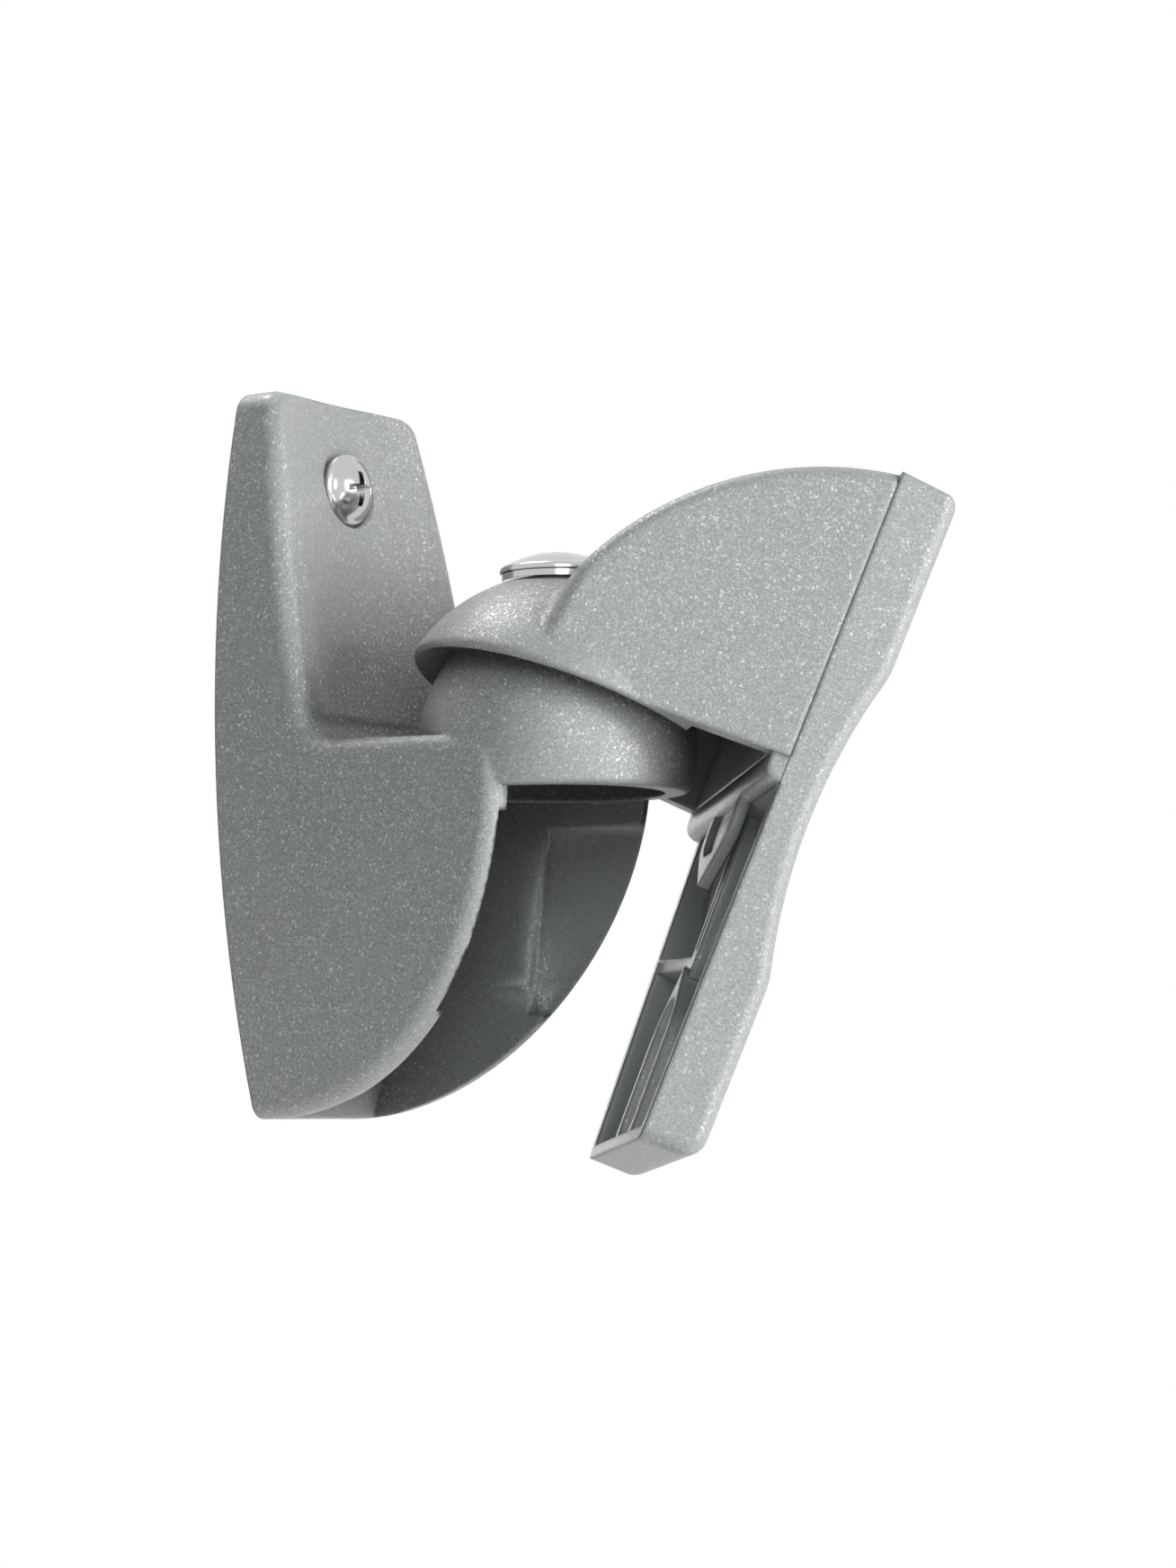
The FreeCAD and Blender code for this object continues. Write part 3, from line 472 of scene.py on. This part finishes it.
class StageSetup(bpy.types.PropertyGroup):
    azimuth: FloatProperty(
        name="Azimuth", description="Camera's turn about the upright axis",
        subtype="ANGLE", unit="ROTATION", default=math.radians(-54.65))
    elevation: FloatProperty(
        name="Elevation", description="Camera's height angle", subtype="ANGLE", unit="ROTATION",
        default=math.radians(-4.77))
    distance: FloatProperty(
        name="Distance", description="From the camera to its aim", subtype="DISTANCE", unit="LENGTH",
        default=509.4 * MM)
    aim: FloatVectorProperty(
        name="Aim", description="Point in the middle of the view", subtype="TRANSLATION", unit="LENGTH",
        size=3, default=(2.58 * MM, -44.14 * MM, -4.75 * MM))
    lens: FloatProperty(
        name="Lens", description="Focal length in millimetres", default=90.39, min=10.0)
    floor_drop: FloatProperty(
        name="Floor drop", description="How far the floor lies below the bracket",
        subtype="DISTANCE", unit="LENGTH", default=0.35)
    world_light: FloatProperty(
        name="World light", description="Strength of the even light", default=0.01, min=0.0)


def linked(name, mesh):
    """A new object of a mesh, placed in the scene."""
    piece = bpy.data.objects.new(name, mesh)
    bpy.context.scene.collection.objects.link(piece)
    return piece


def as_mesh(name, shape):
    """A plain mesh from a bmesh, which is freed."""
    mesh = bpy.data.meshes.new(name)
    shape.to_mesh(mesh)
    shape.free()
    return mesh


def settled(piece):
    """The mesh of a piece with its modifiers worked out."""
    context = bpy.context.evaluated_depsgraph_get()
    return bpy.data.meshes.new_from_object(piece.evaluated_get(context))


def only_material(piece, material):
    """Give a piece one material and no other."""
    piece.data.materials.clear()
    piece.data.materials.append(material)


def rounded_copy(node, sizes):
    """A copy of a CAD node with merged corners and even shading over its curved faces."""
    mesh = frame["nodes"][node].data.copy()
    soft = bmesh.new()
    soft.from_mesh(mesh)
    bmesh.ops.remove_doubles(soft, verts=soft.verts, dist=sizes.merge_distance)
    bmesh.ops.dissolve_degenerate(soft, edges=soft.edges, dist=sizes.merge_distance)
    bmesh.ops.dissolve_limit(soft, angle_limit=sizes.flat_angle, verts=soft.verts, edges=soft.edges)
    for face in soft.faces:
        face.smooth = True
    soft.to_mesh(mesh)
    soft.free()
    mesh.name = node + "_skin"
    mesh.set_sharp_from_angle(angle=sizes.crease_angle)
    piece = linked(node + "_skin", mesh)
    even = piece.modifiers.new("even shading", "WEIGHTED_NORMAL")
    even.keep_sharp = True
    even.mode = "FACE_AREA"
    even.weight = EVEN_SHADING_WEIGHT
    return piece


def mark_shelter(mesh, reach):
    """Store on each face the share of its outlook that the piece itself shuts off."""
    tree = BVHTree.FromPolygons([v.co for v in mesh.vertices], [tuple(p.vertices) for p in mesh.polygons])
    spread = []
    for i in range(SHELTER_RAYS):
        height = 1 - (i + 0.5) / SHELTER_RAYS
        angle = i * SHELTER_TURN
        level = math.sqrt(1 - height * height)
        spread.append(Vector((level * math.cos(angle), level * math.sin(angle), height)))
    shares = []
    for face in mesh.polygons:
        turn = face.normal.to_track_quat("Z", "Y")
        start = face.center + face.normal * SHELTER_START
        shut = sum(tree.ray_cast(start, turn @ ray, reach)[0] is not None for ray in spread)
        shares.append(shut / len(spread))
    layer = mesh.attributes.new("shelter", "FLOAT", "FACE")
    layer.data.foreach_set("value", shares)


class BRACKET_OT_mouldings(bpy.types.Operator):
    """Give the three mouldings their skins of silver flake plastic"""
    bl_idname = "bracket.mouldings"
    bl_label = "Mouldings"

    def execute(self, context):
        sizes = context.scene.bracket_sizes
        finish = context.scene.bracket_finish
        plastics = {body: moulded_flake(finish, **look) for body, look in PLASTICS.items()}
        for node, body in MOULDINGS.items():
            skin = rounded_copy(node, sizes)
            mark_shelter(skin.data, sizes.shelter_reach)
            only_material(skin, plastics[body])
            only_material(frame["nodes"][node], plastics[body])
            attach(skin, body)
            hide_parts(node)
        return {"FINISHED"}


class Screw:
    """Sizes of one kind of cross-head screw, given in millimetres and kept in metres.

    Radius, rim and height are the head's, thread is the thread's outer radius, wing and width are
    the cross's length and breadth, sink is its depth, and cup is the radius of the hollow under the
    head, or 0 under a flat one.
    """

    def __init__(self, radius, rim, height, thread, shank, wing, width, sink, cup=0.0):
        self.radius = radius * MM
        self.rim = rim * MM
        self.height = height * MM
        self.thread = thread * MM
        self.core = self.thread * CORE_SHARE
        self.shank = shank * MM
        self.wing = wing * MM
        self.width = width * MM
        self.sink = sink * MM
        self.cup = cup * MM

    def hollow(self, reach):
        """How far the hollow under the head rises above its rim, at a distance from the axis."""
        if not self.cup:
            return 0.0
        return math.sqrt(self.cup ** 2 - reach ** 2) - math.sqrt(self.cup ** 2 - self.radius ** 2)


def screw_profile(screw):
    """Half section of a screw from the middle of its crown to its end, with a softened rim."""
    crown = screw.height - screw.rim
    sphere = (screw.radius ** 2 + crown ** 2) / (2 * crown)
    soft = min(RIM_ROUNDING, screw.rim * RIM_ROUNDING_SHARE)
    last = screw.radius - soft
    points = []
    for step in range(CROWN_STEPS + 1):
        reach = last * step / CROWN_STEPS
        points.append((reach, screw.height - sphere + math.sqrt(sphere ** 2 - reach ** 2)))
    shoulder = points[-1][1]
    low = max(shoulder - soft * RIM_DROP_SHARE, screw.rim * RIM_FOOT_SHARE)
    for step in range(1, RIM_STEPS + 1):
        angle = math.radians(90 * step / RIM_STEPS)
        points.append((last + soft * math.sin(angle), low + (shoulder - low) * math.cos(angle)))
    points.append((screw.radius, FOOT_EDGE))
    points.append((screw.radius - FOOT_EDGE, 0.0))
    if screw.cup:
        for step in range(1, CUP_STEPS + 1):
            reach = screw.radius + (screw.core - screw.radius) * step / CUP_STEPS
            points.append((reach, screw.hollow(reach)))
    else:
        points.append((screw.core, 0.0))
    points.append((screw.core, POINT - screw.shank))
    points.append((screw.core - POINT, -screw.shank))
    points.append((0.0, -screw.shank))
    return points


def turned(profile):
    """A closed round body from pairs of radius and height that run from its top to its foot."""
    body = bmesh.new()
    turns = [2 * math.pi * i / TURNING_STEPS for i in range(TURNING_STEPS)]
    rings = []
    for radius, height in profile:
        if radius < ON_AXIS:
            rings.append([body.verts.new((0.0, 0.0, height))])
        else:
            ring = [(radius * math.cos(a), radius * math.sin(a), height) for a in turns]
            rings.append([body.verts.new(point) for point in ring])
    for upper, lower in zip(rings, rings[1:]):
        for i in range(TURNING_STEPS):
            j = (i + 1) % TURNING_STEPS
            corners = [upper[0]] if len(upper) == 1 else [upper[j], upper[i]]
            corners += [lower[0]] if len(lower) == 1 else [lower[i], lower[j]]
            body.faces.new(corners)
    bmesh.ops.recalc_face_normals(body, faces=body.faces)
    return body


def recess_cutter(screw, sizes):
    """A four-armed tapered plug that cuts the drive into a head."""
    cutter = bmesh.new()
    top = (screw.height + screw.sink * CROSS_OVERSHOOT, 1 + CROSS_OVERSHOOT * sizes.recess_taper)
    foot = (screw.height - screw.sink, 1 - sizes.recess_taper)
    rings = []
    for height, share in (top, foot):
        wing = screw.wing / 2 * share
        half = screw.width / 2 * (0.5 + share / 2)
        arm = [(wing, -half * CROSS_TIP_SHARE), (wing, half * CROSS_TIP_SHARE), (half, half)]
        outline = []
        for quarter in range(4):
            turn = Matrix.Rotation(math.radians(90 * quarter), 2)
            outline += [turn @ Vector(point) for point in arm]
        rings.append([cutter.verts.new((point.x, point.y, height)) for point in outline])
    upper, lower = rings
    for i in range(len(upper)):
        j = (i + 1) % len(upper)
        cutter.faces.new((upper[i], lower[i], lower[j], upper[j]))
    for ring in rings:
        bmesh.ops.triangulate(cutter, faces=[cutter.faces.new(ring)])
    bmesh.ops.recalc_face_normals(cutter, faces=cutter.faces)
    return linked("recess_cutter", as_mesh("recess_cutter", cutter))


def thread_net():
    """Geometry nodes that wind one screw thread down from the origin."""
    net = bpy.data.node_groups.new("screw_thread", "GeometryNodeTree")
    net.interface.new_socket("Geometry", in_out="OUTPUT", socket_type="NodeSocketGeometry")
    for name in ("Radius", "Length", "Pitch", "Ridge"):
        net.interface.new_socket(name, in_out="INPUT", socket_type="NodeSocketFloat")
    net.interface.new_socket("Material", in_out="INPUT", socket_type="NodeSocketMaterial")
    nodes = Nodes(net)
    given = nodes.add("NodeGroupInput").outputs
    length = Number(nodes, given["Length"])
    spiral = nodes.add("GeometryNodeCurveSpiral", {}, {
        "Resolution": THREAD_STEPS,
        "Rotations": length / Number(nodes, given["Pitch"]),
        "Start Radius": given["Radius"],
        "End Radius": given["Radius"],
        "Height": length * -1.0,
    })
    ridge = nodes.add("GeometryNodeCurvePrimitiveCircle", {}, {
        "Resolution": RIDGE_CORNERS, "Radius": given["Ridge"]})
    sweep = nodes.add("GeometryNodeCurveToMesh", {}, {
        "Curve": spiral.outputs[0], "Profile Curve": ridge.outputs[0], "Fill Caps": True})
    real = nodes.add("GeometryNodeRealizeInstances", {}, {0: sweep.outputs[0]})
    coat = nodes.add("GeometryNodeSetMaterial", {}, {
        "Geometry": real.outputs[0], "Material": given["Material"]})
    nodes.add("NodeGroupOutput", {}, {0: coat.outputs[0]})
    return net


def wound_thread(net, screw, sizes, steel):
    """The thread of one screw, from just under its head almost to its end."""
    carrier = linked("thread", bpy.data.meshes.new("thread"))
    winding = carrier.modifiers.new("thread", "NODES")
    winding.node_group = net
    values = {
        "Radius": screw.core,
        "Length": screw.shank - 2 * POINT,
        "Pitch": sizes.thread_pitch,
        "Ridge": screw.thread - screw.core,
        "Material": steel,
    }
    for item in net.interface.items_tree:
        if item.in_out == "INPUT":
            winding[item.identifier] = values[item.name]
    mesh = settled(carrier)
    mesh.transform(Matrix.Translation((0, 0, screw.hollow(screw.core) - POINT)))
    bpy.data.objects.remove(carrier)
    return mesh


def make_screw(net, screw, sizes, steel):
    """One screw that stands on the origin and points up, with its drive and its thread."""
    body = linked("screw_body", as_mesh("screw_body", turned(screw_profile(screw))))
    cutter = recess_cutter(screw, sizes)
    drive = body.modifiers.new("drive", "BOOLEAN")
    drive.operation = "DIFFERENCE"
    drive.solver = "EXACT"
    drive.object = cutter
    whole = bmesh.new()
    whole.from_mesh(settled(body))
    whole.from_mesh(wound_thread(net, screw, sizes, steel))
    for used in (body, cutter):
        bpy.data.objects.remove(used)
    return whole


def stood_on(node, direction, height):
    """The place of a screw whose head's top is at the end of its node's box."""
    low, high = (Vector(corner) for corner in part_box(node))
    middle = (low + high) / 2
    axis = max(range(3), key=lambda i: abs(direction[i]))
    top = low[axis] if direction[axis] < 0 else high[axis]
    middle[axis] = top - direction[axis] * height
    return Matrix.Translation(middle) @ Vector(direction).to_track_quat("Z", "Y").to_matrix().to_4x4()


UP = (0, 0, 1)
TO_ROOM = (0, -1, 0)
HEAD_TO_ROOM = Matrix.Rotation(math.radians(90), 4, "X")
WALL_SCREW = Screw(radius=4.9, rim=1.1, height=3.6, thread=2.4, shank=4.0, wing=5.4, width=1.2, sink=2.2)
CLAMP_SCREW = Screw(radius=7.6, rim=0.7, height=3.0, thread=3.0, shank=16.0, wing=8.0, width=1.6, sink=1.9,
                    cup=23.65)
PLATE_SCREW = Screw(radius=2.9, rim=0.57, height=1.7, thread=1.5, shank=16.0, wing=4.0, width=0.8, sink=1.1)
SCREWS = {
    "upper_wall_screw": (WALL_SCREW, [stood_on("upper_wall_screw", TO_ROOM, WALL_SCREW.height)]),
    "lower_wall_screw": (WALL_SCREW, [stood_on("lower_wall_screw", TO_ROOM, WALL_SCREW.height)]),
    "clamp_screw": (CLAMP_SCREW, [stood_on("clamp_screw", UP, CLAMP_SCREW.height)]),
    "plate_screws": (PLATE_SCREW, [ARM_PLACE @ Matrix.Translation(seat) @ HEAD_TO_ROOM
                                   for seat in PLATE_SCREW_SEATS]),
}


class BRACKET_OT_bright_parts(bpy.types.Operator):
    """Turn the cross-head screws, and give them, the nut and the washer their plated finish"""
    bl_idname = "bracket.bright_parts"
    bl_label = "Bright parts"

    def execute(self, context):
        sizes = context.scene.bracket_sizes
        steel = plated_steel(context.scene.bracket_finish)
        net = thread_net()
        for node, body in BRIGHT_PARTS.items():
            if node in SCREWS:
                piece = self.screws(net, node, sizes, steel)
            else:
                piece = rounded_copy(node, sizes)
            only_material(piece, steel)
            only_material(frame["nodes"][node], steel)
            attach(piece, body)
            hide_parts(node)
        return {"FINISHED"}

    def screws(self, net, node, sizes, steel):
        """The screws of one node, each set where the frame has it."""
        kind, places = SCREWS[node]
        together = bmesh.new()
        for place in places:
            single = make_screw(net, kind, sizes, steel)
            single.transform(place)
            mesh = as_mesh("single", single)
            together.from_mesh(mesh)
            bpy.data.meshes.remove(mesh)
        for face in together.faces:
            face.smooth = True
        piece = linked(node + "_skin", as_mesh(node + "_skin", together))
        piece.data.set_sharp_from_angle(angle=sizes.screw_crease)
        return piece


def hang_lamp(name, aim, offset, size, power, tint):
    """A soft rectangular lamp at an offset from the aim, turned to it."""
    data = bpy.data.lights.new(name, "AREA")
    data.shape = "RECTANGLE"
    data.size, data.size_y = size
    data.energy = power
    data.color = tint
    place = aim + Vector(offset)
    lamp = linked(name, data)
    lamp.location = place
    lamp.rotation_euler = (aim - place).to_track_quat("-Z", "Y").to_euler()


class BRACKET_OT_stage(bpy.types.Operator):
    """Set the camera, the pale floor and the soft studio light"""
    bl_idname = "bracket.stage"
    bl_label = "Stage"

    def execute(self, context):
        stage = context.scene.bracket_stage
        self.place_camera(context, stage)
        self.lay_floor(stage)
        self.light_world(context, stage)
        for name, lamp in LAMPS.items():
            hang_lamp(name, Vector(stage.aim), *lamp)
        context.scene.view_settings.view_transform = "Standard"
        return {"FINISHED"}

    def place_camera(self, context, stage):
        """Set the camera at its angles and distance from the aim."""
        back = Vector((math.sin(stage.azimuth) * math.cos(stage.elevation),
                       -math.cos(stage.azimuth) * math.cos(stage.elevation),
                       math.sin(stage.elevation)))
        data = bpy.data.cameras.new("camera")
        data.lens = stage.lens
        data.sensor_width = 36.0
        camera = linked("camera", data)
        camera.location = Vector(stage.aim) + back * stage.distance
        camera.rotation_euler = (-back).to_track_quat("-Z", "Y").to_euler()
        context.scene.camera = camera

    def lay_floor(self, stage):
        """A pale floor that rises into a backdrop in one smooth sweep."""
        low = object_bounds()[0][2] - stage.floor_drop
        profile = [Vector((-SWEEP_RUN, low))]
        for step in range(SWEEP_STEPS + 1):
            angle = math.radians(90 * step / SWEEP_STEPS)
            profile.append(Vector((SWEEP_RUN - SWEEP_BEND + SWEEP_BEND * math.sin(angle),
                                   low + SWEEP_BEND - SWEEP_BEND * math.cos(angle))))
        profile.append(Vector((SWEEP_RUN, low + SWEEP_RISE)))
        away = Vector((-math.sin(stage.azimuth), math.cos(stage.azimuth), 0))
        across = Vector((away.y, -away.x, 0))
        sheet = bmesh.new()
        rows = []
        for forward, height in profile:
            centre = away * forward + Vector((0, 0, height))
            rows.append([sheet.verts.new(centre + across * side * SWEEP_HALF_WIDTH) for side in (-1, 1)])
        for first, second in zip(rows, rows[1:]):
            face = sheet.faces.new((first[0], first[1], second[1], second[0]))
            face.smooth = True
        sweep = linked("studio_sweep", as_mesh("studio_sweep", sheet))
        sweep.data.materials.append(self.pale_material())
        sweep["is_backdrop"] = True

    def pale_material(self):
        """Pale paint that shows as white to the camera, and in gloss, and still takes a shadow."""
        finish = Finish("pale_paint")
        finish.shade(colour=PALE_PAINT, roughness=PALE_ROUGHNESS)
        white = finish.add("ShaderNodeEmission", {}, {"Color": WHITE, "Strength": 1.0})
        blend = finish.add("ShaderNodeMixShader", {}, {
            0: finish.shows_backdrop(), 1: finish.shader.outputs[0], 2: white.outputs[0]})
        finish.feed(finish.output, 0, blend.outputs[0])
        return finish.material

    def light_world(self, context, stage):
        """A faint even light on the object, and white where the world shows."""
        world = bpy.data.worlds.new("studio_world")
        world.use_nodes = True
        nodes = Nodes(world.node_tree)
        even = nodes.add("ShaderNodeBackground", {}, {"Color": WHITE, "Strength": stage.world_light})
        white = nodes.add("ShaderNodeBackground", {}, {"Color": WHITE, "Strength": 1.0})
        blend = nodes.add("ShaderNodeMixShader", {}, {
            0: nodes.shows_backdrop(), 1: even.outputs[0], 2: white.outputs[0]})
        nodes.add("ShaderNodeOutputWorld", {}, {0: blend.outputs[0]})
        context.scene.world = world


class BRACKET_PT_panel(bpy.types.Panel):
    bl_label = "Speaker wall bracket"
    bl_idname = "BRACKET_PT_panel"
    bl_space_type = "VIEW_3D"
    bl_region_type = "UI"
    bl_category = "Bracket"

    def draw(self, context):
        for operator in OPERATORS:
            self.layout.operator(operator.bl_idname)
        for name in GROUPS:
            group = getattr(context.scene, name)
            box = self.layout.box()
            for setting in group.__annotations__:
                box.prop(group, setting)


OPERATORS = (BRACKET_OT_mouldings, BRACKET_OT_bright_parts, BRACKET_OT_stage)
GROUPS = {"bracket_finish": BracketFinish, "bracket_sizes": BracketSizes, "bracket_stage": StageSetup}


def register():
    for group in GROUPS.values():
        bpy.utils.register_class(group)
    for operator in OPERATORS:
        bpy.utils.register_class(operator)
    bpy.utils.register_class(BRACKET_PT_panel)
    for name, group in GROUPS.items():
        setattr(bpy.types.Scene, name, PointerProperty(type=group))


def unregister():
    for name in GROUPS:
        delattr(bpy.types.Scene, name)
    bpy.utils.unregister_class(BRACKET_PT_panel)
    for operator in reversed(OPERATORS):
        bpy.utils.unregister_class(operator)
    for group in GROUPS.values():
        bpy.utils.unregister_class(group)


def main():
    register()
    bpy.ops.bracket.mouldings()
    bpy.ops.bracket.bright_parts()
    bpy.ops.bracket.stage()


if __name__ == "__main__":
    main()
